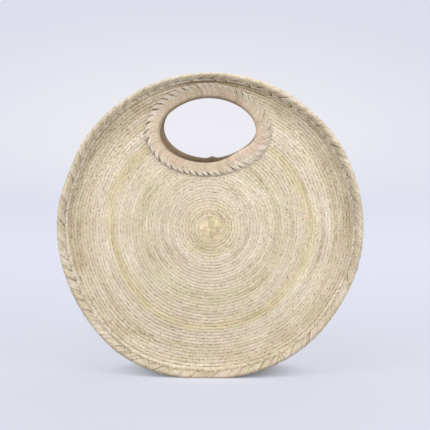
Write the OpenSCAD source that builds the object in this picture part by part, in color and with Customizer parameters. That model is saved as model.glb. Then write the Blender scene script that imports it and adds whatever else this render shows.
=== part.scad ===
// Round handbag of sewn palm braid. Two dished round panels stand front and back of a
// gusset, each with a thick braid round its rim and an oval handle hole bound with a braid.
// The bag stands on its rims, facing -Y, with the origin under its middle on the floor.

/* [Overall] */
// Diameter over the rim braids
outer_d = 380; // [340:1:420]
// Depth from the front of one rim braid to the back of the other
bag_depth = 100; // [85:1:140]
// Height worn and settled flat under each rim braid
foot_cut = 1.8; // [1:0.1:3]
// Gap left round every edge that is tucked into a braid
seat_gap = 0.3; // [0.2:0.05:0.5]

/* [Panels] */
// Thickness of the sewn palm braid of a panel
panel_t = 4; // [3:0.5:5]
// How far the flat middle of a panel lies behind the face of its rim braid
panel_recess = 13; // [12:0.5:16]
// Width of the ring that curves from the flat middle out into the rim braid
curve_w = 28; // [20:1:36]

/* [Rim braids] */
// Width of the flat rim braid, across its round-edged section
rim_w = 16; // [14:0.5:18]
// Thickness of the rim braid
rim_t = 8; // [7:0.5:9]
// Slope at which the rim braid stands out from the panel, outer edge foremost
rim_tilt = 40; // [30:1:45]
// How deep the edges of panel and gusset are tucked into the rim braid
edge_seat = 3.5; // [3:0.1:4]

/* [Handle holes] */
// Width of the oval handle hole
hole_w = 118; // [100:1:124]
// Height of the oval handle hole
hole_h = 79; // [66:1:84]
// Sideways place of the hole, from the middle of the panel
hole_x = -2.3; // [-5:0.1:5]
// Width of the braid that binds the hole, as seen from the front
handle_w = 17; // [13:0.5:20]
// Thickness of the braid that binds the hole
handle_t = 9; // [8:0.5:11]
// How deep the panel's edge is tucked into the braid that binds the hole
handle_seat = 9; // [7:0.5:11]

/* [Gusset] */
// Thickness of the gusset
gusset_t = 3.5; // [2.5:0.5:4]
// How far the gusset's outer face lies inside the outer edge of the rim braid
gusset_inset = 5.5; // [5:0.1:6]
// Height from the top of the gusset up to the line where the panels flex
mouth_drop = 8; // [6:0.5:20]
// Width of the strip that is folded over each end of the gusset
binding_w = 12; // [8:0.5:18]
// Thickness of that strip
binding_t = 2; // [1.5:0.1:3]
// Diameter of the sewing strand along the gusset's edges
seam_d = 2; // [1.5:0.1:2.5]

/* [Flexing mouth] */
// Height from the line where a panel flexes up to the braid of its handle hole
flex_gap = 7; // [4:0.5:12]
// How far the top of a panel leans in or out when the bag is closed or opened
swing = 15; // [8:1:15]

/* [Hidden] */

$fn = 96;

// Colours of the dried palm
straw = [0.85, 0.79, 0.69];
rim_straw = [0.80, 0.73, 0.60];
tan_straw = [0.82, 0.72, 0.61];
strand_straw = [0.74, 0.66, 0.50];

// Reach of every cutting body past what it cuts
overrun = 20;
// Steps in the arc of a panel's curved ring
curve_steps = 6;
// Spare angle that keeps the flexing edges apart at the end of their travel
swing_spare = 2;

// Rim braid: a bar between two round edges, the outer one in front of the inner one
outer_r = outer_d / 2;
centre_z = outer_r - foot_cut;
rim_r = rim_t / 2;
rim_span = rim_w - rim_t;
rim_out_r = outer_r - rim_r;
rim_out_y = bag_depth / 2 - rim_r;
rim_in_r = rim_out_r - rim_span * cos(rim_tilt);
rim_in_y = rim_out_y - rim_span * sin(rim_tilt);

// Panel: flat middle, then an arc that rises to the inner edge of the rim braid
flat_r = rim_in_r - curve_w;
flat_y = bag_depth / 2 - panel_recess - panel_t / 2;
curve_rise = rim_in_y - flat_y;
curve_r = (pow(curve_w, 2) + pow(curve_rise, 2)) / (2 * curve_rise);
panel_edge_r = rim_in_r - rim_r + edge_seat;

// Handle hole, its braid just clear of the rim braid above it
hole_top = rim_in_r - rim_r - handle_w;
hole_z = hole_top - hole_h / 2;

// Line where the top of a panel flexes, in the middle of the thickness of its flat
flex_z = hole_top - hole_h - handle_w - flex_gap;
flex_half = bag_depth / 2 - flat_y;
flex_y = flat_y;

// Gusset, its edges tucked into the backs of both rim braids
gusset_r = outer_r - gusset_inset;
gusset_half = rim_back_y(gusset_r - gusset_t / 2, 0) + edge_seat;
gusset_end = acos((flex_z - mouth_drop) / gusset_r);
binding_half = rim_back_y(gusset_r - gusset_t - binding_t, seat_gap);
binding_end = binding_w / gusset_r * 180 / PI;
binding_lip = binding_t / gusset_r * 180 / PI;

// Sewing strand in the corner between gusset and rim braid
seam_r = seam_d / 2;
seam_mid_r = gusset_r + seam_r + seat_gap;
seam_mid_y = rim_back_y(seam_mid_r, seam_r + seat_gap);
seam_end = gusset_end + binding_end + binding_lip;

// Distance from the bag's middle to a line a gap behind the rim braid's sloped back, at a radius
function rim_back_y(r, gap) =
    rim_out_y - ((rim_out_r - r) * sin(rim_tilt) + rim_r + gap) / cos(rim_tilt);

// Lifts a shape drawn round the bag's axis, height towards the front, to its place
module stand() {
    translate([0, 0, centre_z]) rotate([90, 0, 0]) children();
}

// The back of the bag is the front mirrored
module back_side() {
    mirror([0, 1, 0]) children();
}

// Points along the panel's arc at a height over its middle surface, from one angle to another
function arc_points(height, from, to) = [
    for (i = [0 : curve_steps])
        let (a = from + (to - from) * i / curve_steps, r = curve_r - height)
            [flat_r + r * sin(a), flat_y + curve_r - r * cos(a)]
];

// Half section of a panel between two heights over its middle surface, out to a radius
module dish_section(low, high, edge_r) {
    edge_angle = asin((edge_r - flat_r) / curve_r);
    polygon(concat(
        [[0, flat_y + low]],
        arc_points(low, 0, edge_angle),
        arc_points(high, edge_angle, 0),
        [[0, flat_y + high]]
    ));
}

// Dished disc between two heights over the panel's middle surface
module dish(low, high, edge_r) {
    stand() rotate_extrude() dish_section(low, high, edge_r);
}

// Upright oval block round the handle hole, wider than the hole by a margin
module hole_block(margin) {
    stand() translate([hole_x, hole_z, 0]) linear_extrude(bag_depth / 2 + overrun)
        scale([hole_w / 2 + margin, hole_h / 2 + margin]) circle(1);
}

// Everything above the flex line
module above_flex() {
    translate([-outer_r - overrun, -bag_depth / 2 - overrun, centre_z + flex_z])
        cube([outer_d + 2 * overrun, bag_depth + 2 * overrun, outer_d]);
}

// Everything below two slopes that fall away from the flex line, room for the top to swing
module below_slopes() {
    drop = flex_half * tan(swing + swing_spare);
    translate([-outer_r - overrun, -flex_y, centre_z + flex_z - seat_gap])
        rotate([90, 0, 90]) linear_extrude(outer_d + 2 * overrun) polygon([
            [0, 0],
            [-flex_half, -drop],
            [-flex_half - overrun, -drop],
            [-flex_half - overrun, -outer_d],
            [flex_half + overrun, -outer_d],
            [flex_half + overrun, -drop],
            [flex_half, -drop],
        ]);
}

// Everything under the floor
module under_floor() {
    translate([-outer_r, -bag_depth / 2 - overrun, -overrun])
        cube([outer_d, bag_depth + 2 * overrun, overrun]);
}

// Ring of the rim braid's section, grown by a gap on every side
module rim_ring(gap) {
    stand() rotate_extrude() {
        translate([rim_in_r, rim_in_y]) circle(rim_r + gap);
        translate([rim_out_r, rim_out_y]) circle(rim_r + gap);
        translate([rim_in_r, rim_in_y]) rotate(rim_tilt) translate([0, -rim_r - gap])
            square([rim_span, rim_t + 2 * gap]);
    }
}

// Whole front rim braid with the grooves for the panel's and the gusset's edges
module rim() {
    difference() {
        rim_ring(0);
        dish(-panel_t / 2 - seat_gap, panel_t / 2 + seat_gap, panel_edge_r + seat_gap);
        gusset_band(seat_gap);
        under_floor();
    }
}

// Braid bound round the edge of the front handle hole
module handle_braid() {
    color(tan_straw) difference() {
        dish(-handle_t / 2, handle_t / 2, panel_edge_r);
        difference() {
            stand() linear_extrude(bag_depth) circle(outer_r);
            hole_block(handle_w);
        }
        hole_block(0);
        difference() {
            dish(-panel_t / 2 - seat_gap, panel_t / 2 + seat_gap, panel_edge_r + overrun);
            hole_block(handle_w - handle_seat - seat_gap);
        }
        rim_ring(seat_gap);
    }
}

// Gusset band, grown by a gap on every side
module gusset_band(gap) {
    end = gusset_end - gap / gusset_r * 180 / PI;
    stand() rotate_extrude(angle = 360 - 2 * end, start = 90 + end)
        translate([gusset_r - gusset_t - gap, -gusset_half - gap])
            square([gusset_t + 2 * gap, 2 * (gusset_half + gap)]);
}

// Strip folded over the gusset's end on the right
module binding() {
    color(tan_straw) difference() {
        stand() rotate_extrude(angle = binding_end + binding_lip, start = 90 - gusset_end - binding_end)
            translate([gusset_r - gusset_t - binding_t, -binding_half])
                square([gusset_t + 2 * binding_t, 2 * binding_half]);
        gusset_band(seat_gap);
    }
}

// Sewing strand along the gusset's front edge
module gusset_seam() {
    color(strand_straw) stand() rotate_extrude(angle = 360 - 2 * seam_end, start = 90 + seam_end)
        translate([seam_mid_r, seam_mid_y]) circle(seam_r);
}

module front_panel_body() {
    color(straw) intersection() {
        dish(-panel_t / 2, panel_t / 2, panel_edge_r);
        below_slopes();
    }
}

module front_panel_top() {
    color(straw) difference() {
        intersection() {
            dish(-panel_t / 2, panel_t / 2, panel_edge_r);
            above_flex();
        }
        hole_block(handle_w - handle_seat);
    }
}

module front_rim_body() {
    color(rim_straw) intersection() {
        rim();
        below_slopes();
    }
}

module front_rim_top() {
    color(rim_straw) intersection() {
        rim();
        above_flex();
    }
}

front_panel_body();
front_panel_top();
back_side() front_panel_body();  // back_panel_body
back_side() front_panel_top();  // back_panel_top
front_rim_body();
front_rim_top();
back_side() front_rim_body();  // back_rim_body
back_side() front_rim_top();  // back_rim_top
handle_braid();  // front_handle_braid
back_side() handle_braid();  // back_handle_braid
color(straw) gusset_band(0);  // gusset
mirror([1, 0, 0]) binding();  // left_gusset_binding
binding();  // right_gusset_binding
gusset_seam();  // front_gusset_seam
back_side() gusset_seam();  // back_gusset_seam
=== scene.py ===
"""Round handbag of sewn palm braid, seen on pale paper: the visual model, in metres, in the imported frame."""

import math

import bpy
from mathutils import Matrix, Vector


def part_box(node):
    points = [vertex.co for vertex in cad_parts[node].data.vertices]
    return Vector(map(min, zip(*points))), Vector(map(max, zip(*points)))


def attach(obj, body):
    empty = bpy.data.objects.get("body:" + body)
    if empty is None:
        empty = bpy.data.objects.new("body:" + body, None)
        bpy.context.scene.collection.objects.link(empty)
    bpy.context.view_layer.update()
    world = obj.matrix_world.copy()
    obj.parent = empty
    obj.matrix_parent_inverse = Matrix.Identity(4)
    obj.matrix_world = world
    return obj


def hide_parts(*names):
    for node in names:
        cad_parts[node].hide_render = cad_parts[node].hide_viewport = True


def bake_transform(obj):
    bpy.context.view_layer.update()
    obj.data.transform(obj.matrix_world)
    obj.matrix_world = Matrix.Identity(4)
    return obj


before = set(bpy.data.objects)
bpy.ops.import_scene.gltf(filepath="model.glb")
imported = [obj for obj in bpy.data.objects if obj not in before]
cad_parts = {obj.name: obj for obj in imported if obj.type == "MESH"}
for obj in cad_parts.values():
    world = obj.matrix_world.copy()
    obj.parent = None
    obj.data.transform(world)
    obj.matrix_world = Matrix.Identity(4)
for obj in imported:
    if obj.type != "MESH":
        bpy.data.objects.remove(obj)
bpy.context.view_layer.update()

MM = 0.001
TURN = 2 * math.pi
FRONT, BACK = -1, 1
INNER, OUTER = -1, 1

# Random draws: the seed, another for a panel's or the gusset's inside, and what each kind of draw adds to it
SEED = 7
INSIDE_SEED = SEED + 100
LINE_DRAW, SLANT_DRAW, TINT_DRAW, LIFT_DRAW = 11, 21, 31, 41
WHORL_TURN_DRAW, WHORL_TINT_DRAW = 50, 60
STRIP_PLACE_DRAW, STRIP_TINT_DRAW, STRIP_LOOSE_DRAW = 71, 72, 74
STRAND_PLACE_DRAW, STRAND_TINT_DRAW, STRAND_OPEN_DRAW = 75, 73, 76
LENGTH_DRAW = 81

# Sizes read from the frame
OUTER_R = (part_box("front_rim_body")[1].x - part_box("front_rim_body")[0].x) / 2
CENTRE_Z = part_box("front_rim_top")[1].z - OUTER_R
HALF_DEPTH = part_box("back_rim_body")[1].y
GUSSET_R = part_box("gusset")[1].x
GUSSET_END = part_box("gusset")[1].z - CENTRE_Z
SEAM_Y = (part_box("back_gusset_seam")[0].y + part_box("back_gusset_seam")[1].y) / 2
BINDING_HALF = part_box("left_gusset_binding")[1].y

# Panel: braid sewn in a spiral, flat in the middle and curving out to the rim
PANEL_T = 4 * MM
PANEL_RECESS = 13 * MM
CURVE_W = 28 * MM
ROW_W = 7.7 * MM
STRAND_PITCH = 3.4 * MM
STRAND_SLANT = math.radians(24)
STRAND_LENGTH = 10.3 * MM
STRAND_W = 1.7 * MM
STRAND_DIP = 0.13 * MM
STRAND_SUNK = 0.7 * MM
STRAND_UNEVEN = 0.08 * MM
SLANT_UNEVEN = 0.07
WHORL_R = 12 * MM
WHORL_X = 1 * MM
WHORL_Z = -3 * MM

# The leaves round the spiral's start, ring by ring: how many, ring radius, length, width, twist, height
WHORL_RINGS = (
    (11, 15.5 * MM, 13 * MM, 8.0 * MM, 0.35, 1.20 * MM),
    (4, 9.0 * MM, 21 * MM, 17.5 * MM, 0.95, 1.70 * MM),
)

# Painted light and shade on the panel's outer rows: paler at the bottom, which faces the light, and darker at
# the left and right, by a share below nothing: direction, narrowness, share
PANEL_LIGHT_AND_SHADE = (
    (270, 3, 1.0),
    (186, 5, -1.0),
    (0, 5, -0.9),
)

# Rim: a flat herringbone braid that slopes outwards
RIM_W = 16 * MM
RIM_T = 8 * MM
RIM_TILT = math.radians(40)
RIM_LEAN = math.radians(7)
RIM_SPINE = -2 * MM
RIM_OVERLAP = 0.8 * MM
RIM_SUNK = 0.35 * MM
RIM_LOOSE = 0.35 * MM
RIM_STRANDS = 80
RIM_DRIFTS = ((OUTER, 25 * MM), (INNER, 13 * MM))

# Handle: a braid bound over the edge of the oval hole
HOLE_W = 118 * MM
HOLE_H = 79 * MM
HOLE_X = -2.3 * MM
HANDLE_W = 17 * MM
HANDLE_T = 9 * MM
HANDLE_MID = 8.5 * MM
HANDLE_SPREAD = 2.5 * MM
HANDLE_TOP_SPREAD = 3.7 * MM
HANDLE_STRANDS = 47
HANDLE_DRIFT = 18 * MM
JOIN_DIRECTION = 272
JOIN_LUMP = 2.2 * MM

# Strips of leaf that go over an edge: how many lie side by side in a strand, how much they overlap, how
# hollow they are, and how far their ends are tucked down
STRIPS = 6
STRIP_OVERLAP = 1.08
STRIP_CUP = 1.2 * MM
STRIP_TUCK = 1.7 * MM

# How strips move along an edge on their way over it, from one face to the other: evenly, and on a handle
STRAIGHT_SLIDE = [(0, 0), (1, 1)]
HANDLE_SLIDE = [
    (0, 0.24), (0.14, 0.50), (0.26, 0.66), (0.36, 0.62), (0.5, 0.5),
    (0.64, 0.38), (0.74, 0.34), (0.86, 0.50), (1, 0.76),
]

# Where the hand-made edges stand out from a true circle: how far on the front and on the back, in which
# direction, in degrees from +X upwards, and how wide
BULGES = (
    (2.2 * MM, -1.0 * MM, 40, 18),
    (3.6 * MM, 0.0, 95, 34),
    (-2.4 * MM, 0.5 * MM, 158, 9),
    (5.2 * MM, -1.0 * MM, 238, 22),
    (-1.8 * MM, 0.0, 328, 14),
)

# Where the hand-made hole is smaller than an oval, by the same measures
HOLE_BULGES = (
    (1.6 * MM, 0.8 * MM, 300, 38),
    (4.2 * MM, 1.0 * MM, 314, 22),
    (1.2 * MM, 0.5 * MM, 140, 26),
    (-1.4 * MM, 0.0, 208, 26),
    (-1.3 * MM, -1.0 * MM, 85, 30),
)

# Directions of painted light and shade: the rim's painted shadow on the panel and on the sheet inside it; on
# the rim, painted shade between strands, most near the top, painted shadow lines along its inner edge at the
# top and lower left, and a painted highlight on its ridge at the lower left; on the handle, painted shade at
# the top, looser strands and painted shade at the lower left, and a painted shadow along its outer ends low
# down
PANEL_SHADED = 85
SHEET_SHADED = 75
RIM_GAPS_SHADED = 62
RIM_SHADOW_LINE_TOP = 66
RIM_SHADOW_LINE_LOW = 226
RIM_HIGHLIGHT = 234
HANDLE_SHADED_TOP = 97
HANDLE_LOOSE_AND_SHADED = 215
HANDLE_SHADED = 245

# Gusset: rows of the same braid, with a bound strip over each end
GUSSET_T = 3.5 * MM
BINDING_W = 12 * MM
BINDING_T = 2 * MM
BINDING_STRANDS = 8

# What follows from these sizes
RIM_SPAN = RIM_W - RIM_T
RIM_OUT_R = OUTER_R - RIM_T / 2
RIM_OUT_Y = HALF_DEPTH - RIM_T / 2
RIM_IN_R = RIM_OUT_R - RIM_SPAN * math.cos(RIM_TILT)
RIM_IN_Y = RIM_OUT_Y - RIM_SPAN * math.sin(RIM_TILT)
RIM_MID_R = (RIM_IN_R + RIM_OUT_R) / 2
RIM_MID_Y = (RIM_IN_Y + RIM_OUT_Y) / 2
FLAT_R = RIM_IN_R - CURVE_W
FLAT_Y = HALF_DEPTH - PANEL_RECESS - PANEL_T / 2
CURVE_RISE = RIM_IN_Y - FLAT_Y
CURVE_R = (CURVE_W ** 2 + CURVE_RISE ** 2) / (2 * CURVE_RISE)
PANEL_EDGE_R = RIM_IN_R + 2.5 * MM
MOUTH_ANGLE = math.acos(GUSSET_END / GUSSET_R)
GUSSET_MID_R = GUSSET_R - GUSSET_T / 2
HOLE_Z = RIM_IN_R - RIM_T / 2 - HANDLE_W - HOLE_H / 2
HANDLE_EDGE_R = HANDLE_T / 2 - 0.4 * MM
HANDLE_REACH = HANDLE_W - HANDLE_T / 2
HANDLE_LENGTH = TURN * math.sqrt(((HOLE_W / 2 + HANDLE_MID) ** 2 + (HOLE_H / 2 + HANDLE_MID) ** 2) / 2)


# Node trees written as sums

class Value:
    """An output socket of a node, which can stand in a sum."""

    def __init__(self, graph, socket):
        self.graph = graph
        self.socket = socket

    def output(self, name):
        return Value(self.graph, self.socket.node.outputs[name])

    def __add__(self, other):
        return self.graph.maths("ADD", self, other)

    def __radd__(self, other):
        return self.graph.maths("ADD", other, self)

    def __sub__(self, other):
        return self.graph.maths("SUBTRACT", self, other)

    def __rsub__(self, other):
        return self.graph.maths("SUBTRACT", other, self)

    def __mul__(self, other):
        return self.graph.maths("MULTIPLY", self, other)

    def __rmul__(self, other):
        return self.graph.maths("MULTIPLY", self, other)

    def __truediv__(self, other):
        return self.graph.maths("DIVIDE", self, other)

    def __pow__(self, other):
        return self.graph.maths("POWER", self, other)

    def __neg__(self):
        return self.graph.maths("MULTIPLY", self, -1.0)

    def __gt__(self, other):
        return self.graph.maths("GREATER_THAN", self, other)

    def __lt__(self, other):
        return self.graph.maths("LESS_THAN", self, other)


class Graph:
    """A node tree that grows as its parts are named."""

    def __init__(self, tree):
        self.tree = tree

    def add(self, kind, settings=None, sockets=None, out=0):
        """Adds a node: its settings, a ramp's stops and a curve's points among them, then its sockets."""
        node = self.tree.nodes.new(kind)
        for name, setting in (settings or {}).items():
            if name == "stops":
                set_stops(node.color_ramp, setting)
            elif name == "points":
                set_points(node.mapping, setting)
            elif name == "items":
                for item, item_kind in setting:
                    node.capture_items.new(item_kind, item)
            else:
                setattr(node, name, setting)
        for name, value in (sockets or {}).items():
            if isinstance(value, Value):
                self.tree.links.new(value.socket, node.inputs[name])
            else:
                node.inputs[name].default_value = value
        return Value(self, node.outputs[out]) if node.outputs else node

    def maths(self, operation, first, second=0.0):
        """A sum of two numbers, or of vectors where one of the two is a vector."""
        values = [value for value in (first, second) if isinstance(value, Value)]
        vectors = [value for value in values if value.socket.type in ("VECTOR", "RGBA")]
        if not vectors:
            return self.add("ShaderNodeMath", {"operation": operation}, {0: first, 1: second})
        if operation == "MULTIPLY" and len(vectors) == 1:
            scale = second if vectors[0] is first else first
            return self.add("ShaderNodeVectorMath", {"operation": "SCALE"}, {0: vectors[0], "Scale": scale})
        return self.add("ShaderNodeVectorMath", {"operation": operation}, {0: first, 1: second})

    def sin(self, angle):
        return self.maths("SINE", angle)

    def cos(self, angle):
        return self.maths("COSINE", angle)

    def root(self, value):
        return self.maths("SQRT", value)

    def exp(self, value):
        return self.maths("EXPONENT", value)

    def most(self, first, second):
        return self.maths("MAXIMUM", first, second)

    def least(self, first, second):
        return self.maths("MINIMUM", first, second)

    def within(self, value, low, high):
        """The value, held between low and high."""
        return self.least(self.most(value, low), high)

    def size(self, value):
        return self.maths("ABSOLUTE", value)

    def whole(self, value):
        return self.maths("FLOOR", value)

    def vector(self, x, y, z):
        return self.add("ShaderNodeCombineXYZ", None, {0: x, 1: y, 2: z})

    def split(self, vector):
        x = self.add("ShaderNodeSeparateXYZ", None, {0: vector})
        return x, x.output("Y"), x.output("Z")

    def ease(self, value, low, high, start=0.0, end=1.0):
        """Runs smoothly from start to end while value runs from low to high."""
        return self.add("ShaderNodeMapRange", {"interpolation_type": "SMOOTHSTEP"},
                        {"Value": value, "From Min": low, "From Max": high, "To Min": start, "To Max": end})

    def facing(self, turn, direction):
        """1 in a direction, given in degrees, nothing a quarter turn away from it, and -1 opposite it."""
        return self.cos(turn - math.radians(direction))

    def towards(self, turn, direction, narrowness):
        """1 in a direction, given in degrees, and fading to nothing on both sides of it."""
        return self.exp((self.facing(turn, direction) - 1) * narrowness)

    def noise(self, place, scale, detail=2.0):
        return self.add("ShaderNodeTexNoise", None, {"Vector": place, "Scale": scale, "Detail": detail})

    def mix(self, share, first, second, blend="MIX"):
        return self.add("ShaderNodeMix", {"data_type": "RGBA", "blend_type": blend},
                        {0: share, 6: first, 7: second}, out=2)

    def stained(self, colour, stain):
        """The colour as another colour over it makes it."""
        return self.mix(1.0, colour, stain, "MULTIPLY")

    def attribute(self, name):
        return self.add("ShaderNodeAttribute", {"attribute_name": name}, out=2)


def blank(owner):
    """The emptied node tree of a new material or world."""
    owner.use_nodes = True
    owner.node_tree.nodes.clear()
    return Graph(owner.node_tree)


def set_stops(ramp, stops):
    """A colour ramp's stops: (share, colour)."""
    elements = ramp.elements
    while len(elements) > 1:
        elements.remove(elements[-1])
    elements[0].position = stops[0][0]
    elements[0].color = (*stops[0][1], 1)
    for share, colour in stops[1:]:
        elements.new(share).color = (*colour, 1)


def set_points(mapping, points):
    """A float curve's points: (share, value)."""
    line = mapping.curves[0]
    line.points[0].location = points[0]
    line.points[1].location = points[-1]
    for point in points[1:-1]:
        line.points.new(*point)
    mapping.update()


# Geometry trees and the pieces that they grow

class Shape(Graph):
    """A geometry tree with named inputs for its sizes."""

    def __init__(self, name, **sizes):
        super().__init__(bpy.data.node_groups.new(name, "GeometryNodeTree"))
        self.tree.interface.new_socket("Geometry", in_out="OUTPUT", socket_type="NodeSocketGeometry")
        self.sizes = sizes
        for size, value in sizes.items():
            kind = "NodeSocketInt" if isinstance(value, int) else "NodeSocketFloat"
            self.tree.interface.new_socket(size, in_out="INPUT", socket_type=kind)
        entry = self.tree.nodes.new("NodeGroupInput")
        self.inputs = {size: Value(self, entry.outputs[size]) for size in sizes}

    def __getitem__(self, size):
        return self.inputs[size]

    def grid(self, along, across):
        """A sheet of that many faces, with its shares along and across: (mesh, u, v)."""
        sheet = self.add("GeometryNodeMeshGrid", None,
                         {"Size X": 1.0, "Size Y": 1.0, "Vertices X": along + 1, "Vertices Y": across + 1})
        mesh = self.store(sheet, "UVMap", sheet.output("UV Map"), "FLOAT2", "CORNER")
        x, y, _ = self.position()
        return mesh, x + 0.5, y + 0.5

    def position(self):
        return self.split(self.add("GeometryNodeInputPosition"))

    def ways(self, turn):
        """The way outwards and the way onwards, on a circle that faces the front."""
        cosine, sine = self.cos(turn), self.sin(turn)
        return self.vector(cosine, 0.0, sine), self.vector(-sine, 0.0, cosine)

    def index(self):
        return self.add("GeometryNodeInputIndex")

    def store(self, mesh, name, value, kind="FLOAT", domain="POINT"):
        return self.add("GeometryNodeStoreNamedAttribute", {"data_type": kind, "domain": domain},
                        {"Geometry": mesh, "Name": name, "Value": value})

    def stored(self, name):
        return self.add("GeometryNodeInputNamedAttribute", {"data_type": "FLOAT"}, {"Name": name})

    def place(self, mesh, position):
        return self.add("GeometryNodeSetPosition", None, {"Geometry": mesh, "Position": position})

    def points(self, count, position):
        return self.add("GeometryNodePoints", None, {"Count": count, "Position": position, "Radius": MM})

    def without(self, mesh, selection, domain="POINT"):
        return self.add("GeometryNodeDeleteGeometry", {"domain": domain},
                        {"Geometry": mesh, "Selection": selection})

    def repeat(self, points, leaf_mesh, **turned):
        return self.add("GeometryNodeInstanceOnPoints", None,
                        {"Points": points, "Instance": leaf_mesh, **turned})

    def realized(self, mesh):
        return self.add("GeometryNodeRealizeInstances", None, {"Geometry": mesh})

    def flipped(self, mesh, selection):
        return self.add("GeometryNodeFlipFaces", None, {"Mesh": mesh, "Selection": selection})

    def chance(self, low, high, draw, number=None):
        """A random number for each point, or the same one for all points of one number."""
        sockets = {2: low, 3: high, "Seed": self["seed"] + draw}
        if number is not None:
            sockets["ID"] = number
        return self.add("FunctionNodeRandomValue", {"data_type": "FLOAT"}, sockets, out=1)

    def spread(self, reach, draw, number=None):
        """A random number up to reach on either side of nothing."""
        return self.chance(-reach, reach, draw, number)

    def join(self, *meshes):
        joined = self.add("GeometryNodeJoinGeometry")
        for mesh in meshes:
            self.tree.links.new(mesh.socket, joined.socket.node.inputs[0])
        return joined

    def finish(self, mesh, material):
        """Ends the tree: real, smooth mesh with its material."""
        mesh = self.realized(mesh)
        mesh = self.add("GeometryNodeSetShadeSmooth", None, {"Geometry": mesh})
        mesh = self.add("GeometryNodeSetMaterial", None, {"Geometry": mesh, "Material": material})
        self.tree.links.new(mesh.socket, self.tree.nodes.new("NodeGroupOutput").inputs[0])
        return self

    def grow(self, name, thickness=0.0, **changes):
        """Makes a piece: the tree's result, with any change of sizes, as a plain mesh."""
        plan = bpy.data.objects.new(name + "_plan", bpy.data.meshes.new(name + "_plan"))
        bpy.context.scene.collection.objects.link(plan)
        maker = plan.modifiers.new("shape", "NODES")
        maker.node_group = self.tree
        sizes = {**self.sizes, **changes}
        for item in self.tree.interface.items_tree:
            if item.in_out == "INPUT":
                maker[item.identifier] = sizes[item.name]
        if thickness:
            wall = plan.modifiers.new("wall", "SOLIDIFY")
            wall.thickness = thickness
            wall.offset = 0.0
        needed = bpy.context.evaluated_depsgraph_get()
        mesh = bpy.data.meshes.new_from_object(plan.evaluated_get(needed), depsgraph=needed)
        mesh.name = name
        bpy.data.objects.remove(plan)
        piece = bpy.data.objects.new(name, mesh)
        bpy.context.scene.collection.objects.link(piece)
        return piece


# Palm leaf

def dried(red, green, blue):
    """A colour as it is seen, from 0 to 255, in the scene's linear light."""
    return tuple(((c / 255 + 0.055) / 1.055) ** 2.4 for c in (red, green, blue))


# How fine the palm's patterns are, in waves to a metre: patches of tint, the wander of the panel's rings,
# its tanned patches, hues, flecks, dark specks, and painted shade at strands' ends
PATCHES = 30.0
WANDER = 9.0
TAN = 20.0
HUES = 90.0
FLECKS = 640.0
SPECKS = 420.0
SHADED_ENDS = 260.0

# What is laid over the palm's tints
# the dark colour of specks and of all painted shade
SPECKS_AND_SHADE = (*dried(100, 80, 50), 1)
TANNED = (0.80, 0.74, 0.66, 1)
PINKER = (1.04, 0.98, 1.03, 1)
GREENER = (0.96, 1.0, 0.90, 1)


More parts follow.
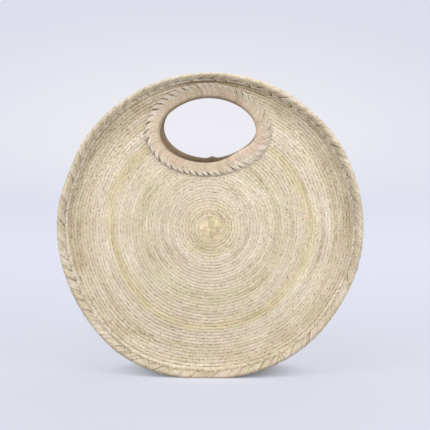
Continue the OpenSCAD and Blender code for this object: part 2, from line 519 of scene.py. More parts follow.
def palm(name, tints, ring_tints=None, ends=0.12, sides=0.10, grain=3.6, marks_and_shade=0.0):
    """Dried palm leaf: strands of their own tint, fibres along them, painted shade at their edges, specks and
    a faint gloss.

    tints are the colours that strands take, ring_tints colours by distance from the panel's middle, with a
    painted shadow where the panel meets the rim at the top right, ends how much painted shade darkens a strand
    where it goes under others, sides the same at its sides, partly browner leaf and partly painted shade,
    grain its flecks along it, and marks_and_shade how many more dark specks it has, painted shade where they
    gather at the panel's outer rows and upper left, and how much painted shade darkens its strands' ends.
    """
    material = bpy.data.materials.new(name)
    g = blank(material)
    place = g.add("ShaderNodeTexCoord").output("Object")
    u, v, _ = g.split(g.add("ShaderNodeUVMap", {"uv_map": "UVMap"}))
    to_end, to_side = g.size(u * 2 - 1), g.size(v * 2 - 1)
    tint, flat, shade = g.attribute("tint"), g.attribute("flat"), g.attribute("shade")

    steps = [(i / (len(tints) - 1), step) for i, step in enumerate(tints)]
    shown = tint * (1 - flat * 0.6) + flat * 0.06
    shown = shown * 0.8 + g.noise(place, PATCHES) * 0.4 - 0.1
    colour = g.add("ShaderNodeValToRGB", {"stops": steps}, {"Fac": shown})

    marks_and_shade_here = marks_and_shade
    if ring_tints:
        x, _, z = g.split(place)
        away = g.root(x * x + (z - CENTRE_Z) * (z - CENTRE_Z)) / OUTER_R
        wander = (g.noise(place, WANDER, 3.0) - 0.5) * 0.12
        rings = g.add("ShaderNodeValToRGB", {"stops": ring_tints}, {"Fac": away + wander})
        colour = g.stained(colour, rings)
        outer = g.ease(away, 0.72, 0.88)
        marks_and_shade_here = (outer + g.ease(z - x * 0.6, CENTRE_Z + 0.08, CENTRE_Z + 0.16)) * marks_and_shade
        tanned_side = g.ease((z - CENTRE_Z) * 0.4 - x, -0.10, 0.14, 0.45, 1.0)
        tanned = g.ease(g.noise(place, TAN, 3.0), 0.50, 0.63) * outer * tanned_side
        colour = g.mix(tanned, colour, g.stained(colour, TANNED))
        # painted shadow: a dark line where the panel meets the rim at the top right
        seam_shadow = g.ease(away, 0.945, 0.951) * g.ease(z + x * 0.5, CENTRE_Z + 0.12, CENTRE_Z + 0.17)
        shade = g.most(shade, seam_shadow * 0.75)

    fibres = g.noise(g.vector(u * 3 + tint * 40, v * 14, tint * 60), 1.0, 3.0)
    # painted shade at a strand's ends, where it goes under others; at its sides partly browner leaf and partly
    # painted shade
    edge = to_side ** 4 * (1 - flat * 0.8) * sides + to_end ** 4 * ends
    colour = colour * (0.9 + fibres * 0.2 - edge)
    own_hue = g.noise(g.vector(tint * 50, 0.3, 0.7), 1.0, 1.0)
    hue = g.ease((own_hue - 0.5) * (1 - flat) * 0.5 + g.noise(place, HUES) * 0.5, 0.05, 0.45)
    colour = g.stained(colour, g.mix(hue, PINKER, GREENER))
    flecks = g.noise(place, FLECKS, 1.0) * 0.45
    flecks = flecks + g.noise(g.vector(u * grain + tint * 30, v * 2.6, tint * 20), 1.0, 1.0)
    colour = colour * (1 + (flecks - 0.72))
    # dark specks of the leaf, with more as painted shade at the panel's outer rows and upper left
    specks = g.ease(g.noise(place, SPECKS, 1.0) + marks_and_shade_here * 0.6, 0.64, 0.76, 0.0, 0.5)
    shade = g.most(shade, specks)
    if marks_and_shade:
        # painted shade at strands' ends, between them
        shaded_ends = to_end ** 5 * g.ease(g.noise(place, SHADED_ENDS, 1.0) + marks_and_shade_here, 0.61, 0.70, 0.0, 0.75)
        shade = g.most(shade, shaded_ends)
    colour = g.mix(shade, colour, SPECKS_AND_SHADE)

    ridges = g.add("ShaderNodeBump", None, {"Strength": 0.3, "Distance": 0.3 * MM, "Height": fibres})
    surface = g.add("ShaderNodeBsdfPrincipled", None,
                    {"Base Color": colour, "Roughness": fibres * 0.2 + 0.52,
                     "Specular IOR Level": 0.3, "Normal": ridges})
    g.add("ShaderNodeOutputMaterial", None, {"Surface": surface})
    return material


PANEL_TINTS = [dried(182, 165, 139), dried(217, 205, 184), dried(230, 220, 202), dried(246, 239, 228)]
PANEL_RINGS = [
    (0.00, dried(243, 235, 214)),
    (0.10, dried(246, 240, 227)),
    (0.15, dried(249, 243, 231)),
    (0.22, dried(250, 244, 242)),
    (0.36, dried(250, 245, 241)),
    (0.46, dried(246, 244, 233)),
    (0.58, dried(250, 245, 242)),
    (0.66, dried(246, 239, 218)),
    (0.70, dried(252, 248, 246)),
    (0.77, dried(252, 247, 244)),
    (0.80, dried(247, 241, 233)),
    (0.86, dried(240, 234, 227)),
    (0.95, dried(239, 233, 224)),
]
RIM_TINTS = [dried(176, 156, 127), dried(206, 190, 165), dried(216, 202, 179), dried(230, 218, 201)]
HANDLE_TINTS = [dried(192, 168, 144), dried(214, 194, 172), dried(222, 206, 186), dried(234, 220, 204)]

panel_palm = palm("panel_palm_leaf", PANEL_TINTS, PANEL_RINGS, ends=0.10, marks_and_shade=0.06)
# the sheets under the strands are dark: painted shade where they show in the gaps between strands
shaded_core_palm = palm("panel_palm_core", [dried(150, 128, 96), dried(170, 148, 114)])
rim_palm = palm("rim_palm_leaf", RIM_TINTS, sides=0.16, grain=14.0, marks_and_shade=0.05)
handle_palm = palm("handle_palm_leaf", HANDLE_TINTS, sides=0.45, grain=20.0)
gusset_palm = palm("gusset_palm_leaf", PANEL_TINTS)
seam_palm = palm("seam_palm_strand", RIM_TINTS[:3])


# Camera, light and paper

CAMERA_AZIMUTH = math.radians(2.1)
CAMERA_HEIGHT = math.radians(7.3)
CAMERA_AWAY = 2.0
FRAME_WIDTH = 0.543
AIM = Vector((0.0049, 0, CENTRE_Z + 0.0110))
PAPER = dried(224, 227, 239)
PAPER_FLOOR = dried(217, 219, 231)
PAPER_GLOW = dried(238, 237, 243)
PAPER_BOUNCE = (0.42, 0.42, 0.43)
GLOW_PLACE = (-0.06, 2.1, 0.12)
SKY = (0.95, 0.97, 1.0, 1)
SKY_STRENGTH = 0.50

# Softboxes: place, width and height, watts
SOFTBOXES = {
    "top_softbox": ((-0.25, -1.2, 2.45), (1.3, 1.0), 22),
    "left_softbox": ((-1.67, -1.40, 1.2), (1.0, 1.4), 22),
    "right_softbox": ((1.67, -1.40, 1.2), (1.0, 1.4), 27),
    "back_softbox": ((0.3, 1.3, 1.5), (1.4, 1.0), 16),
}


def make_camera():
    """A long lens at the photo's height and turn."""
    camera = bpy.data.objects.new("camera", bpy.data.cameras.new("camera"))
    bpy.context.scene.collection.objects.link(camera)
    back = Vector((
        math.sin(CAMERA_AZIMUTH) * math.cos(CAMERA_HEIGHT),
        -math.cos(CAMERA_AZIMUTH) * math.cos(CAMERA_HEIGHT),
        math.sin(CAMERA_HEIGHT),
    ))
    camera.location = AIM + back * CAMERA_AWAY
    camera.rotation_euler = (-back).to_track_quat("-Z", "Y").to_euler()
    camera.data.lens = camera.data.sensor_width * CAMERA_AWAY / FRAME_WIDTH
    camera.data.clip_start = 0.05
    bpy.context.scene.camera = camera


def make_light(name, place, size, power):
    """A softbox that faces the bag's middle."""
    lamp = bpy.data.lights.new(name, "AREA")
    lamp.shape = "RECTANGLE"
    lamp.size, lamp.size_y = size
    lamp.energy = power
    light = bpy.data.objects.new(name, lamp)
    light.location = place
    aim = Vector((0, 0, CENTRE_Z))
    light.rotation_euler = (aim - Vector(place)).to_track_quat("-Z", "Y").to_euler()
    bpy.context.scene.collection.objects.link(light)


def seen_directly(g):
    """1 for what is seen straight, in a mirror or through glass, and nothing for light that bounces."""
    ways = g.add("ShaderNodeLightPath")
    return g.least(ways + ways.output("Is Glossy Ray") + ways.output("Is Transmission Ray"), 1.0)


def make_world():
    """Even light from all round; where the camera sees past the paper, it is as pale as the paper."""
    world = bpy.data.worlds.new("studio")
    g = blank(world)
    light = g.add("ShaderNodeBackground", None, {"Color": SKY, "Strength": SKY_STRENGTH})
    pale = g.add("ShaderNodeBackground", None, {"Color": (*PAPER, 1), "Strength": 1.0})
    surface = g.add("ShaderNodeMixShader", None, {0: seen_directly(g), 1: light, 2: pale})
    g.add("ShaderNodeOutputWorld", None, {"Surface": surface})
    bpy.context.scene.world = world


def paper():
    """Pale paper: nearly even to the camera, with a painted glow a little brighter behind the bag, and the
    bag's shadow.

    lit is how much of its even light the paper shows: little under the bag, where the shadow is deepest.
    """
    material = bpy.data.materials.new("pale_paper")
    g = blank(material)
    x, y, z = g.split(g.add("ShaderNodeTexCoord").output("Object"))
    shade = g.mix(g.ease(y, -0.2, 1.2), (*PAPER_FLOOR, 1), (*PAPER, 1))
    flat = g.vector(x * 0.45, y, z)
    far = g.add("ShaderNodeVectorMath", {"operation": "DISTANCE"}, {0: flat, 1: GLOW_PLACE}).output("Value")
    # a painted glow, a pool of light painted on the paper behind the bag
    shade = g.mix(g.ease(far, 0.03, 0.46, 1.0, 0.0), shade, (*PAPER_GLOW, 1))
    seen = seen_directly(g)
    lit = g.ease(g.root(x * x + y * y * 2), 0.05, 0.14, 0.1, 0.82)
    matte = g.add("ShaderNodeBsdfDiffuse", None, {"Color": g.mix(seen, (*PAPER_BOUNCE, 1), shade)})
    even = g.add("ShaderNodeEmission", None, {"Color": shade, "Strength": 1.0})
    surface = g.add("ShaderNodeMixShader", None, {0: seen * lit, 1: matte, 2: even})
    g.add("ShaderNodeOutputMaterial", None, {"Surface": surface})
    return material


def make_sweep():
    """Paper on the floor, curving up behind the bag."""
    shape = Shape("sweep", reach=3.0, back=1.6, bend=0.8, rise=2.5, wide=6.0)
    mesh, u, v = shape.grid(1, 40)
    quarter = shape["bend"] * (math.pi / 2)
    way = v * (shape["back"] + shape["reach"] + quarter + shape["rise"]) - shape["reach"]
    turn = shape.least(shape.most(way - shape["back"], 0.0) / shape["bend"], math.pi / 2)
    up = shape.most(way - shape["back"] - quarter, 0.0)
    y = shape.least(way, shape["back"]) + shape.sin(turn) * shape["bend"]
    z = (1 - shape.cos(turn)) * shape["bend"] + up
    mesh = shape.place(mesh, shape.vector((u - 0.5) * shape["wide"], y, z))
    shape.finish(mesh, paper()).grow("sweep")


bpy.context.scene.view_settings.view_transform = "Standard"
make_camera()
make_world()
for light_name, light_setup in SOFTBOXES.items():
    make_light(light_name, *light_setup)
make_sweep()


# Shapes shared by the braids

def leaf(shape, length, width, arch, dip, faces=(4, 2), slope=0.0):
    """A short length of palm strand that lies along X: it arches over the braid and dips at its ends.

    slope cuts its ends aslant: how far X moves on as Y does.
    """
    mesh, u, v = shape.grid(*faces)
    y = (v - 0.5) * width
    x = (u - 0.5) * length + y * slope
    rise = arch - shape.size(u * 2 - 1) ** 3 * (arch + dip)
    cup = (v - 0.5) * (v - 0.5) * (arch * 1.2)
    lean = (v - 0.5) * (arch * 0.4)
    return shape.place(mesh, shape.vector(x, y, rise - cup + lean))


def laid(shape, position, along, normal, leaf_mesh, tint, drop=None, shortest=1.0):
    """Lays the leaf on each point: along it, square to the normal, and not where drop is 1.

    shortest is the length of the shortest leaves, as a share of the whole.
    """
    points = shape.add("GeometryNodeCaptureAttribute",
                       {"items": (("along", "VECTOR"), ("normal", "VECTOR"), ("tint", "FLOAT"))},
                       {"Geometry": shape.points(shape["count"], position),
                        "along": along, "normal": normal, "tint": tint})
    kept = points if drop is None else shape.without(points, drop > 0.5)
    rotation = shape.add("FunctionNodeAxesToRotation", {"primary_axis": "Z", "secondary_axis": "X"},
                         {"Primary Axis": points.output("normal"), "Secondary Axis": points.output("along")})
    scale = shape.vector(shape.chance(shortest, 1.0, LENGTH_DRAW), 1.0, 1.0)
    leaves = shape.repeat(kept, leaf_mesh, Rotation=rotation, Scale=scale)
    return shape.store(leaves, "tint", points.output("tint"), domain="INSTANCE")


def row_tint(shape, way, line, swing, uneven, draw):
    """A strand's own tint, which also drifts slowly along its row."""
    stretch = shape.noise(shape.vector(way, line, shape["seed"] * 1.73), 1.0)
    return (stretch - 0.5) * swing + 0.5 + shape.spread(uneven, draw)


def wave(shape, x, z):
    """The hand-made panel's slight waves, forward and back."""
    return shape.sin(x * 19 + z * 7 + 1) * shape.sin(z * 16 - x * 5 + 2) * (0.7 * MM)


def away(shape, x, z):
    """How far a place is from the panel's centre, seen from the front."""
    return shape.root(x * x + z * z)


def dish(shape, x, z):
    """How far the panel's middle surface stands out from the bag's middle; z is above the panel's centre."""
    out = shape.within(away(shape, x, z) - FLAT_R, 0.0, CURVE_W)
    return FLAT_Y + CURVE_R - shape.root(CURVE_R ** 2 - out * out) + wave(shape, x, z)


def not_round(shape, turn, bulges=BULGES):
    """How far a hand-made edge stands out from its true shape in a direction."""
    back = shape["side"] > 0
    total = 0.0
    for front_rise, back_rise, direction, width in bulges:
        near = shape.towards(turn, direction, 2 / math.radians(width) ** 2)
        total = total + near * (back * (back_rise - front_rise) + front_rise)
    return total


def near_hole(shape, x, z, margin):
    """1 where a point lies less than that margin from the hole's edge, or in the hole."""
    across = (x - HOLE_X) / (HOLE_W / 2 + margin)
    up = (z - HOLE_Z) / (HOLE_H / 2 + margin)
    return (across * across + up * up) < 1.0


# Panels

def panel_rows():
    """One face of a panel: a spiral of sewn braid, two lines of slanted strands to a row."""
    count = int(math.pi * PANEL_EDGE_R ** 2 / ROW_W / STRAND_PITCH)
    shape = Shape("panel_rows", side=-1.0, face=1.0, count=count, seed=SEED)
    lines = [panel_line(shape, half) for half in (INNER, OUTER)]
    return shape.finish(shape.join(*lines, *panel_whorl(shape)), panel_palm)


def panel_line(shape, half):
    """The line of strands along the inner or the outer half of the row, with a strand at each point."""
    cut = shape["side"] * shape["face"] * (-half / math.tan(STRAND_SLANT))
    strand = leaf(shape, STRAND_LENGTH, STRAND_W, 0.20 * MM, STRAND_DIP, slope=cut)
    way = (shape.index() + (0.5 + half * 0.25)) * STRAND_PITCH
    row_r = shape.root(way * (ROW_W / math.pi))
    turn = row_r * (TURN / ROW_W)
    line_r = row_r + half * ROW_W / 4 + shape.spread(0.12 * MM, LINE_DRAW + half)
    r = line_r + not_round(shape, turn) * shape.ease(line_r, FLAT_R / 2, RIM_IN_R)
    radial, sideways = shape.ways(turn)
    forward = shape.vector(0.0, shape["side"], 0.0)
    fall = shape.within(r - FLAT_R, 0.0, CURVE_W) / CURVE_R
    level = shape.root(1 - fall * fall)
    normal = forward * level - radial * fall
    up_slope = radial * level + forward * fall
    x, _, z = shape.split(radial * r)
    lift = shape["face"] * (PANEL_T / 2 - STRAND_SUNK) + shape.spread(STRAND_UNEVEN, LIFT_DRAW + half)
    base = shape.vector(x, shape["side"] * dish(shape, x, z), z + CENTRE_Z) + normal * lift
    slant = half * STRAND_SLANT + shape.spread(SLANT_UNEVEN, SLANT_DRAW + half)
    along = sideways * shape.cos(slant) + up_slope * shape.sin(slant)
    drop = shape.most(near_hole(shape, x, z, 10 * MM),
                      shape.most(line_r > PANEL_EDGE_R, line_r < WHORL_R))
    tint = row_tint(shape, way * 11, half * 0.2 + 0.4, 1.4, 0.15, TINT_DRAW + half)
    tint = tint + painted_panel_light(shape, turn, line_r)
    return laid(shape, base, along, normal * shape["face"], strand, tint, drop, shortest=0.84)


def painted_panel_light(shape, turn, line_r):
    """Painted light and shade on the outer rows: paler at the bottom and darker at the sides, with a painted
    shadow just under the rim's top.
    """
    pale = 0.0
    for direction, narrowness, share in PANEL_LIGHT_AND_SHADE:
        pale = pale + shape.towards(turn, direction, narrowness) * share
    pale = pale * shape.ease(line_r, FLAT_R, FLAT_R + 10 * MM) * 0.22
    # painted shadow of the rim's top on the rows just under it
    rim_shadow = shape.ease(line_r, PANEL_EDGE_R - 11 * MM, PANEL_EDGE_R - 3 * MM)
    return pale - shape.towards(turn, PANEL_SHADED, 9) * rim_shadow * 0.6


def panel_whorl(shape):
    """The start of the spiral: broad folded leaves round the panel's centre."""
    rings = []
    for count, r, length, width, twist, lift in WHORL_RINGS:
        petal = leaf(shape, length, width, 0.6 * MM, 0.6 * MM, faces=(8, 6))
        _, y, _ = shape.position()
        fold = shape.ease(shape.size(y), width * 0.42, width * 0.5, 0.0, 0.25)
        petal = shape.store(petal, "shade", fold)
        turn = shape.index() * (TURN / count) + shape.chance(0.5, 1.1, WHORL_TURN_DRAW + count)
        radial, sideways = shape.ways(turn)
        out = shape["side"] * shape["face"]
        normal = shape.vector(0.0, out, 0.0) + radial * 0.03
        along = sideways * math.cos(twist) + radial * math.sin(twist)
        centre = shape.vector(WHORL_X, shape["side"] * FLAT_Y + out * lift, CENTRE_Z + WHORL_Z)
        tint = shape.chance(0.3, 0.65, WHORL_TINT_DRAW + count)
        spare = shape.index() > count - 0.5
        rings.append(laid(shape, centre + radial * r, along, normal, petal, tint, spare))
    return rings


def panel_core():
    """The sheet inside a panel, which closes the gaps between its strands."""
    shape = Shape("panel_core", side=-1.0)
    mesh, u, v = shape.grid(180, 60)
    turn = u * TURN
    r = v * PANEL_EDGE_R
    r = r + not_round(shape, turn) * shape.ease(r, FLAT_R / 2, RIM_IN_R)
    # painted shadow of the rim's top on the sheet just under it
    rim_shadow = shape.ease(r, PANEL_EDGE_R - 10 * MM, PANEL_EDGE_R - 5 * MM)
    mesh = shape.store(mesh, "shade", shape.towards(turn, SHEET_SHADED, 4) * rim_shadow * 0.8)
    x, z = shape.cos(turn) * r, shape.sin(turn) * r
    mesh = shape.place(mesh, shape.vector(x, shape["side"] * dish(shape, x, z), z + CENTRE_Z))
    mesh = shape.add("GeometryNodeMergeByDistance", None, {"Geometry": mesh, "Distance": 0.01 * MM})
    x, _, z = shape.position()
    mesh = shape.without(mesh, near_hole(shape, x, z - CENTRE_Z, 5 * MM) > 0.5, "FACE")
    return shape.finish(mesh, shaded_core_palm)


# Bound and plaited edges: strips of leaf that go over an edge, side by side in strands

def over_edge(shape, share, radius, reach, sunk):
    """A path over an edge, in the flat: (Y away from the edge, Z out of the face).

    share runs from 0 to 1 along it, radius is the edge's rounding, reach how far the path goes past it on
    each face, and sunk how far the path lies under the edge's surface.
    """
    quarter = radius * math.pi / 2
    way = (share * 2 - 1) * (reach + quarter)
    bend = shape.within(way / radius, -math.pi / 2, math.pi / 2)
    straight = shape.most(shape.size(way) - quarter, 0.0)
    out = radius - sunk
    return radius - shape.cos(bend) * out + straight, shape.sin(bend) * out


def strips(shape, pitch, radius, reach, drift, slide, tuck=0.80):
    """Strips laid over an edge, in the flat: X along the edge, Y away from it, Z out of the face.

    drift is how far they move along the edge on their way, as slide says: (share of their length, share
    of the drift). Past the share tuck of the way to either end they go down under what lies beside them.
    """
    mesh, u, v = shape.grid(24, 2)
    end = shape.ease(shape.size(u * 2 - 1), tuck, 1.0)
    cup = (v - 0.5) * (v - 0.5) * STRIP_CUP
    y, z = over_edge(shape, u, radius, reach, cup + end * STRIP_TUCK)
    slid = shape.add("ShaderNodeFloatCurve", {"points": slide}, {"Value": u}) * drift
    x = slid + (v - 0.5) * (pitch / STRIPS * STRIP_OVERLAP)
    strip = shape.place(mesh, shape.vector(x, y, z))
    order = shape.index() / STRIPS
    number = shape.whole(order)
    lie = (order - number) * (STRIPS / (STRIPS - 1))
    moved = shape.spread(0.03, STRIP_PLACE_DRAW) + shape.spread(0.04, STRAND_PLACE_DRAW, number)
    points = shape.points(shape["strands"] * STRIPS, shape.vector((order + moved) * pitch, 0.0, 0.0))
    row = shape.store(shape.repeat(points, strip), "lie", lie, domain="INSTANCE")
    tint = shape.chance(0.0, 0.5, STRIP_TINT_DRAW) + shape.chance(0.0, 0.5, STRAND_TINT_DRAW, number)
    row = shape.store(row, "tint", tint, domain="INSTANCE")
    row = shape.store(row, "loose", shape.spread(0.5, STRIP_LOOSE_DRAW), domain="INSTANCE")
    row = shape.store(row, "open", shape.chance(0.0, 1.0, STRAND_OPEN_DRAW, number), domain="INSTANCE")
    return shape.realized(row)


def round_rim(shape, turn, across, out):
    """A place on a rim: across its face from the middle outwards, and out of it.

    The rim is pulled thin at the top, and leans out more there than where it has settled at the bottom.
    """
    out = out * (1 - shape.exp((shape.sin(turn) - 1) * 4) * 0.45)
    tilt = shape.sin(turn) * RIM_LEAN + RIM_TILT
    cosine, sine = shape.cos(tilt), shape.sin(tilt)
    r = RIM_MID_R + not_round(shape, turn) + across * cosine - out * sine
    y = RIM_MID_Y + across * sine + out * cosine
    z = shape.most(shape.sin(turn) * r + CENTRE_Z, 0.1 * MM)
    return shape.vector(shape.cos(turn) * r, shape["side"] * y, z)


def rim_shade(shape, column, turn, reach):
    """Painted shade on a rim's strips: between strands, most near the top, and painted shadow in broken lines
    along the inner column, at the top and at the lower left.
    """
    s, n, h = shape.position()
    # painted shade between strands, in the first strip of an open strand, most near the top
    first = (shape.stored("lie") < 0.1) * (shape.stored("open") > 0.3)
    marks_and_shade = shape.towards(turn, RIM_GAPS_SHADED, 2.5) * 0.7 + 0.3
    gap_shade = first * shape.ease(n, reach * 0.75, reach * 1.1) * marks_and_shade * shape.ease(h, 0.0, 2 * MM)
    if column == OUTER:
        return gap_shade
    # painted shadow line where the rim meets the panel at the top
    top = shape.towards(turn, RIM_SHADOW_LINE_TOP, 7)
    top = top * shape.ease(n, 3.5 * MM, 3.0 * MM) * shape.ease(n, 1.2 * MM, 1.8 * MM)
    # painted shade line beside the ridge at the lower left
    low = shape.towards(turn, RIM_SHADOW_LINE_LOW, 12) * 0.6
    low = low * shape.ease(n, 4.8 * MM, 4.2 * MM) * shape.ease(n, 2.8 * MM, 3.4 * MM)
    dashes = shape.ease(shape.noise(shape.vector(s * 150, 0.2, 0.4), 1.0), 0.36, 0.46)
    return shape.most(gap_shade, shape.most(top, low) * dashes)


def rim_tint(shape, column, turn):
    """The tint of a rim's strips: paler above the settled bottom, and a painted highlight in a line along the
    ridge at the lower left.
    """
    low = shape.ease(shape.sin(turn), -0.5, -1.0)
    tint = shape.stored("tint") + (1 - low) * (0.5 if column == INNER else 0.1) - low * 0.1
    if column == OUTER:
        return tint
    _, n, _ = shape.position()
    # painted highlight along the ridge at the lower left
    return tint + shape.towards(turn, RIM_HIGHLIGHT, 8) * shape.ease(n, 3.6 * MM, 2.6 * MM)


def rim_braid():
    """A rim: herringbone braid, one column of strands over each of its edges."""
    shape = Shape("rim_braid", side=-1.0, strands=RIM_STRANDS, seed=SEED)
    pitch = TURN * RIM_MID_R / RIM_STRANDS
    columns = []
    for column, drift in RIM_DRIFTS:
        reach = RIM_SPAN / 2 - column * RIM_SPINE + RIM_OVERLAP
        row = strips(shape, pitch, RIM_T / 2 - RIM_SUNK, reach, drift, STRAIGHT_SLIDE)
        s, n, h = shape.position()
        turn = (s + pitch * 0.25 * column) / RIM_MID_R
        row = shape.store(row, "shade", rim_shade(shape, column, turn, reach))
        row = shape.store(row, "tint", rim_tint(shape, column, turn))
        uneven = shape.noise(shape.vector(s * 22, column * 3.3, 0.7), 1.0)
        uneven = shape.ease(uneven, 0.35, 0.65, 0.2 * MM, 1.3 * MM)
        step = (shape.stored("lie") - 0.5) * uneven + shape.stored("loose") * RIM_LOOSE
        h = h + shape.ease(h, -1 * MM, 3 * MM) * step
        n = n - shape.ease(n, 4 * MM, 0.0) * step * 0.6
        row = shape.place(row, round_rim(shape, turn, (RIM_W / 2 - RIM_SUNK - n) * column, h))
        columns.append(shape.flipped(row, shape["side"] * column < 0))
    return shape.finish(shape.join(*columns), rim_palm)


def rim_core():
    """The inside of a rim, which closes the gaps between its strands."""
    shape = Shape("rim_core", side=-1.0)
    mesh, u, v = shape.grid(180, 16)
    ring = v * TURN
    radius = RIM_T / 2 - 1.6 * MM
    end = shape.maths("SIGN", shape.cos(ring))
    across = shape.cos(ring) * radius + end * (RIM_SPAN / 2)
    out = shape.sin(ring) * radius
    mesh = shape.place(mesh, round_rim(shape, u * TURN, across, out))
    return shape.finish(shape.flipped(mesh, shape["side"] > 0), shaded_core_palm)


def round_hole(shape, s, n, h):
    """A place on a handle: s along the hole's edge, n away from it, h out of the panel's middle surface."""
    turn = s * (TURN / HANDLE_LENGTH)
    a, b = HOLE_W / 2, HOLE_H / 2
    turn = turn + shape.sin(turn * 2) * ((a - b) / (a + b + 2 * HANDLE_MID) / 2)
    ex, ez = shape.cos(turn), shape.sin(turn)
    spread = ex * ex * HANDLE_SPREAD + shape.most(ez, 0.0) ** 3 * HANDLE_TOP_SPREAD
    n = n + shape.ease(n, 4 * MM, HANDLE_W) * spread
    n = n - not_round(shape, turn, HOLE_BULGES) * shape.ease(n, 22 * MM, 10 * MM)
    joined = shape.towards(turn, JOIN_DIRECTION, 400) * (shape["side"] > 0)
    n = n - shape.ease(n, 5 * MM, 0.0) * joined * JOIN_LUMP
    square = away(shape, ex * b, ez * a)
    x = ex * a + ex * b / square * n + HOLE_X
    z = ez * b + ez * a / square * n + HOLE_Z
    return shape.vector(x, shape["side"] * (dish(shape, x, z) + h), z + CENTRE_Z)


def handle_shade(shape, turn, heavy):
    """Painted shade on a handle's strips: in the hole, between strands, along their outer ends low down, at
    the top and on the inner edge at the lower left.
    """
    _, n, h = shape.position()
    # painted shade on the hole's inner wall and the handle's inward face
    inside = shape.ease(h, 2.2 * MM, -2.0 * MM) * shape.ease(n, 9 * MM, 6 * MM) * 0.75
    # painted shade between strands at their outer ends
    gap_shade = (shape.stored("lie") < 0.1) * shape.ease(n, 12.2 * MM, 13.4 * MM) * heavy * 0.8
    # painted shadow along the outer ends of the strands, low down
    ends = shape.ease(shape.facing(turn, HANDLE_SHADED), 0.3, 0.9) * 0.4
    ends = ends * shape.ease(n, 16.0 * MM, 16.5 * MM)
    # painted shade at the top, under the rim and most on the inner edge
    top = shape.ease(shape.facing(turn, HANDLE_SHADED_TOP), 0.0, 0.9)
    top = top * (shape.ease(n, 6 * MM, 2 * MM) * 0.35 + 0.2)
    # painted shade on the inner edge at the lower left and bottom
    low = shape.ease(shape.facing(turn, HANDLE_LOOSE_AND_SHADED), -0.2, 0.8) * 0.2
    low = low * shape.ease(n, 5.5 * MM, 2 * MM)
    return shape.most(inside, shape.most(gap_shade, ends) + (top + low))


def handle_binding():
    """A handle: strands bound over the edge of the hole, close at first and then laid aslant, in steps."""
    shape = Shape("handle_binding", side=-1.0, strands=HANDLE_STRANDS, seed=SEED)
    pitch = HANDLE_LENGTH / HANDLE_STRANDS
    row = strips(shape, pitch, HANDLE_EDGE_R, HANDLE_REACH, HANDLE_DRIFT, HANDLE_SLIDE, tuck=0.93)
    s, n, h = shape.position()
    lie = shape.stored("lie") - 0.5
    turn = s * (TURN / HANDLE_LENGTH)
    heavy = shape.facing(turn, HANDLE_LOOSE_AND_SHADED) * 0.3 + 0.35 + shape.stored("open") * 0.5
    outer = shape.ease(n, 10 * MM, 13.5 * MM) * heavy
    step = outer * (lie * 0.12) + shape.stored("loose") * (outer * 0.12 + 0.03)
    row = shape.store(row, "flat", shape.ease(n, 10 * MM, 7 * MM))
    row = shape.store(row, "tint", shape.stored("tint") + outer * 0.9)
    row = shape.store(row, "shade", handle_shade(shape, turn, heavy))
    h = h * (1 + step - shape.ease(n, 6 * MM, HANDLE_W) * 0.05)
    n = n + outer * lie * (1.2 * MM)
    row = shape.place(row, round_hole(shape, s - lie * outer * (pitch * 0.05), n, h))
    return shape.finish(shape.flipped(row, shape["side"] > 0), handle_palm)


def handle_core():
    """The inside of a handle, which closes the gaps between its strands."""
    shape = Shape("handle_core", side=-1.0)
    mesh, u, v = shape.grid(160, 24)
    n, h = over_edge(shape, v, HANDLE_EDGE_R, HANDLE_REACH - 2.5 * MM, 1.3 * MM)
    h = h * (1 - shape.ease(n, 10 * MM, 15 * MM) * 0.4)
    mesh = shape.place(mesh, round_hole(shape, u * HANDLE_LENGTH, n, h))
    return shape.finish(shape.flipped(mesh, shape["side"] < 0), shaded_core_palm)


# Gusset

def round_gusset(place, places, ends):
    """The turn of a place on the gusset, where places are spread evenly between angles ends from the top."""
    return place * ((TURN - 2 * ends) / places) + (math.pi / 2 + ends)


def gusset_rows():
    """The gusset: rows of braid along it, inside and out."""
    rows = round(2 * SEAM_Y / ROW_W)
    ends = MOUTH_ANGLE + 5 * MM / GUSSET_R
    steps = int((TURN - 2 * ends) * GUSSET_R / STRAND_PITCH)
    shape = Shape("gusset_rows", face=1.0, count=rows * 2 * steps, seed=SEED)
    number = shape.index()
    step = shape.whole(number / (rows * 2))
    line = number - step * (rows * 2)
    half = (line / 2 - shape.whole(line / 2)) * 4 - 1
    turn = round_gusset(step + 0.5 + half * 0.25, steps, ends)
    radial, sideways = shape.ways(turn)
    y = (line + 0.5) * (SEAM_Y / rows) - SEAM_Y
    lift = shape["face"] * (GUSSET_T / 2 - STRAND_SUNK) + shape.spread(STRAND_UNEVEN, LIFT_DRAW)
    position = shape.vector(0.0, y, CENTRE_Z) + radial * (lift + GUSSET_MID_R)
    slant = half * STRAND_SLANT + shape.spread(SLANT_UNEVEN, SLANT_DRAW)
    along = sideways * shape.cos(slant) + shape.vector(0.0, 1.0, 0.0) * shape.sin(slant)
    tint = row_tint(shape, turn * 4, line * 3.1, 1.2, 0.2, TINT_DRAW)
    strand = leaf(shape, STRAND_LENGTH, STRAND_W * 1.15, 0.26 * MM, STRAND_DIP)
    row = laid(shape, position, along, radial * shape["face"], strand, tint, shortest=0.9)
    return shape.finish(row, gusset_palm)


def gusset_core():
    """The sheet inside the gusset."""
    shape = Shape("gusset_core", width=2 * SEAM_Y + 2 * MM)
    mesh, u, v = shape.grid(150, 4)
    radial, _ = shape.ways(round_gusset(u, 1, MOUTH_ANGLE))
    place = shape.vector(0.0, (v - 0.5) * shape["width"], CENTRE_Z) + radial * GUSSET_MID_R
    return shape.finish(shape.place(mesh, place), shaded_core_palm)


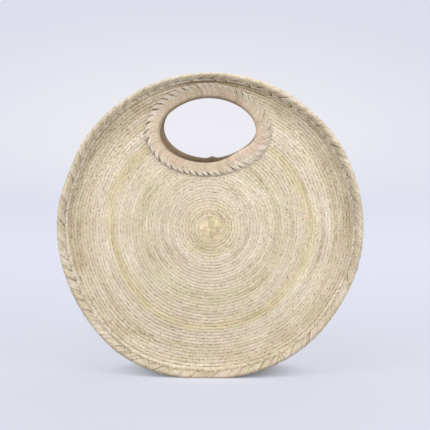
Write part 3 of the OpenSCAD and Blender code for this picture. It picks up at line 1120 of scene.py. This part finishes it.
def gusset_binding():
    """The strip bound over an end of the gusset, side 1 on the right."""
    shape = Shape("gusset_binding", side=1.0, strands=BINDING_STRANDS, seed=SEED)
    pitch = 2 * BINDING_HALF / BINDING_STRANDS
    radius = GUSSET_T / 2 + BINDING_T - 0.4 * MM
    row = strips(shape, pitch, radius, BINDING_W - radius, 4 * MM, STRAIGHT_SLIDE)
    s, n, h = shape.position()
    y = shape.within(s - BINDING_HALF, -BINDING_HALF, BINDING_HALF)
    turn = math.pi / 2 - MOUTH_ANGLE + BINDING_T / GUSSET_R - n / GUSSET_R
    r = h + GUSSET_MID_R
    place = shape.vector(shape["side"] * shape.cos(turn) * r, y, shape.sin(turn) * r + CENTRE_Z)
    return shape.finish(shape.flipped(shape.place(row, place), shape["side"] < 0), handle_palm)


def gusset_stitches():
    """Stitches that sew the gusset to a rim."""
    ends = MOUTH_ANGLE + 16 * MM / GUSSET_R
    count = int((TURN - 2 * ends) * GUSSET_R / (7 * MM))
    shape = Shape("gusset_stitches", side=-1.0, count=count, seed=SEED)
    stitch = leaf(shape, 8.5 * MM, 2.2 * MM, 0.8 * MM, 0.5 * MM)
    radial, sideways = shape.ways(round_gusset(shape.index() + 0.5, count, ends))
    inwards = shape.vector(0.0, -shape["side"], 0.0)
    normal = radial * 0.8 + inwards * 0.6
    along = sideways * 0.75 + (radial * 0.6 - inwards * 0.8) * 0.66
    position = shape.vector(0.0, shape["side"] * SEAM_Y, CENTRE_Z) + radial * (GUSSET_R + 0.6 * MM)
    row = laid(shape, position, along, normal, stitch, shape.chance(0.0, 1.0, TINT_DRAW))
    return shape.finish(row, seam_palm)


# Putting the bag together

def flexing(piece):
    """Bakes a piece of panel or rim into place; nothing bends it."""
    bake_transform(piece)


def make_panels():
    """Both panels: rows outside and inside, and the sheet between them."""
    rows, core = panel_rows(), panel_core()
    for side, name in ((FRONT, "front"), (BACK, "back")):
        for piece in (
            rows.grow(name + "_panel_outer_rows", side=side * 1.0, face=1.0),
            rows.grow(name + "_panel_inner_rows", side=side * 1.0, face=-1.0, seed=INSIDE_SEED),
            core.grow(name + "_panel_core", thickness=1.4 * MM, side=side * 1.0),
        ):
            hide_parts(name + "_panel_body", name + "_panel_top")
            flexing(piece)


def make_rims():
    """Both rims: braid round a core."""
    braid, core = rim_braid(), rim_core()
    for side, name in ((FRONT, "front"), (BACK, "back")):
        for piece in (
            braid.grow(name + "_rim_braid", side=side * 1.0, seed=SEED + side),
            core.grow(name + "_rim_core", side=side * 1.0),
        ):
            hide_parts(name + "_rim_body", name + "_rim_top")
            flexing(piece)


def make_handles():
    """Both handles: binding round a core."""
    binding, core = handle_binding(), handle_core()
    for side, name in ((FRONT, "front"), (BACK, "back")):
        for piece in (
            binding.grow(name + "_handle_binding", side=side * 1.0, seed=SEED + side),
            core.grow(name + "_handle_core", side=side * 1.0),
        ):
            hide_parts(name + "_handle_braid")
            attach(piece, name + "_top")


def make_gusset():
    """The gusset, the strips bound over its ends, and the stitches along its edges."""
    rows = gusset_rows()
    for piece in (
        rows.grow("gusset_outer_rows", face=1.0),
        rows.grow("gusset_inner_rows", face=-1.0, seed=INSIDE_SEED),
        gusset_core().grow("gusset_core", thickness=1.6 * MM),
    ):
        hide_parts("gusset")
        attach(piece, "shell")
    binding = gusset_binding()
    for side, name in ((-1.0, "left"), (1.0, "right")):
        piece = binding.grow(name + "_end_binding", side=side)
        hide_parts(name + "_gusset_binding")
        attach(piece, "shell")
    stitches = gusset_stitches()
    for side, name in ((FRONT, "front"), (BACK, "back")):
        piece = stitches.grow(name + "_gusset_stitches", side=side * 1.0)
        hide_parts(name + "_gusset_seam")
        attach(piece, "shell")


make_panels()
make_rims()
make_handles()
make_gusset()
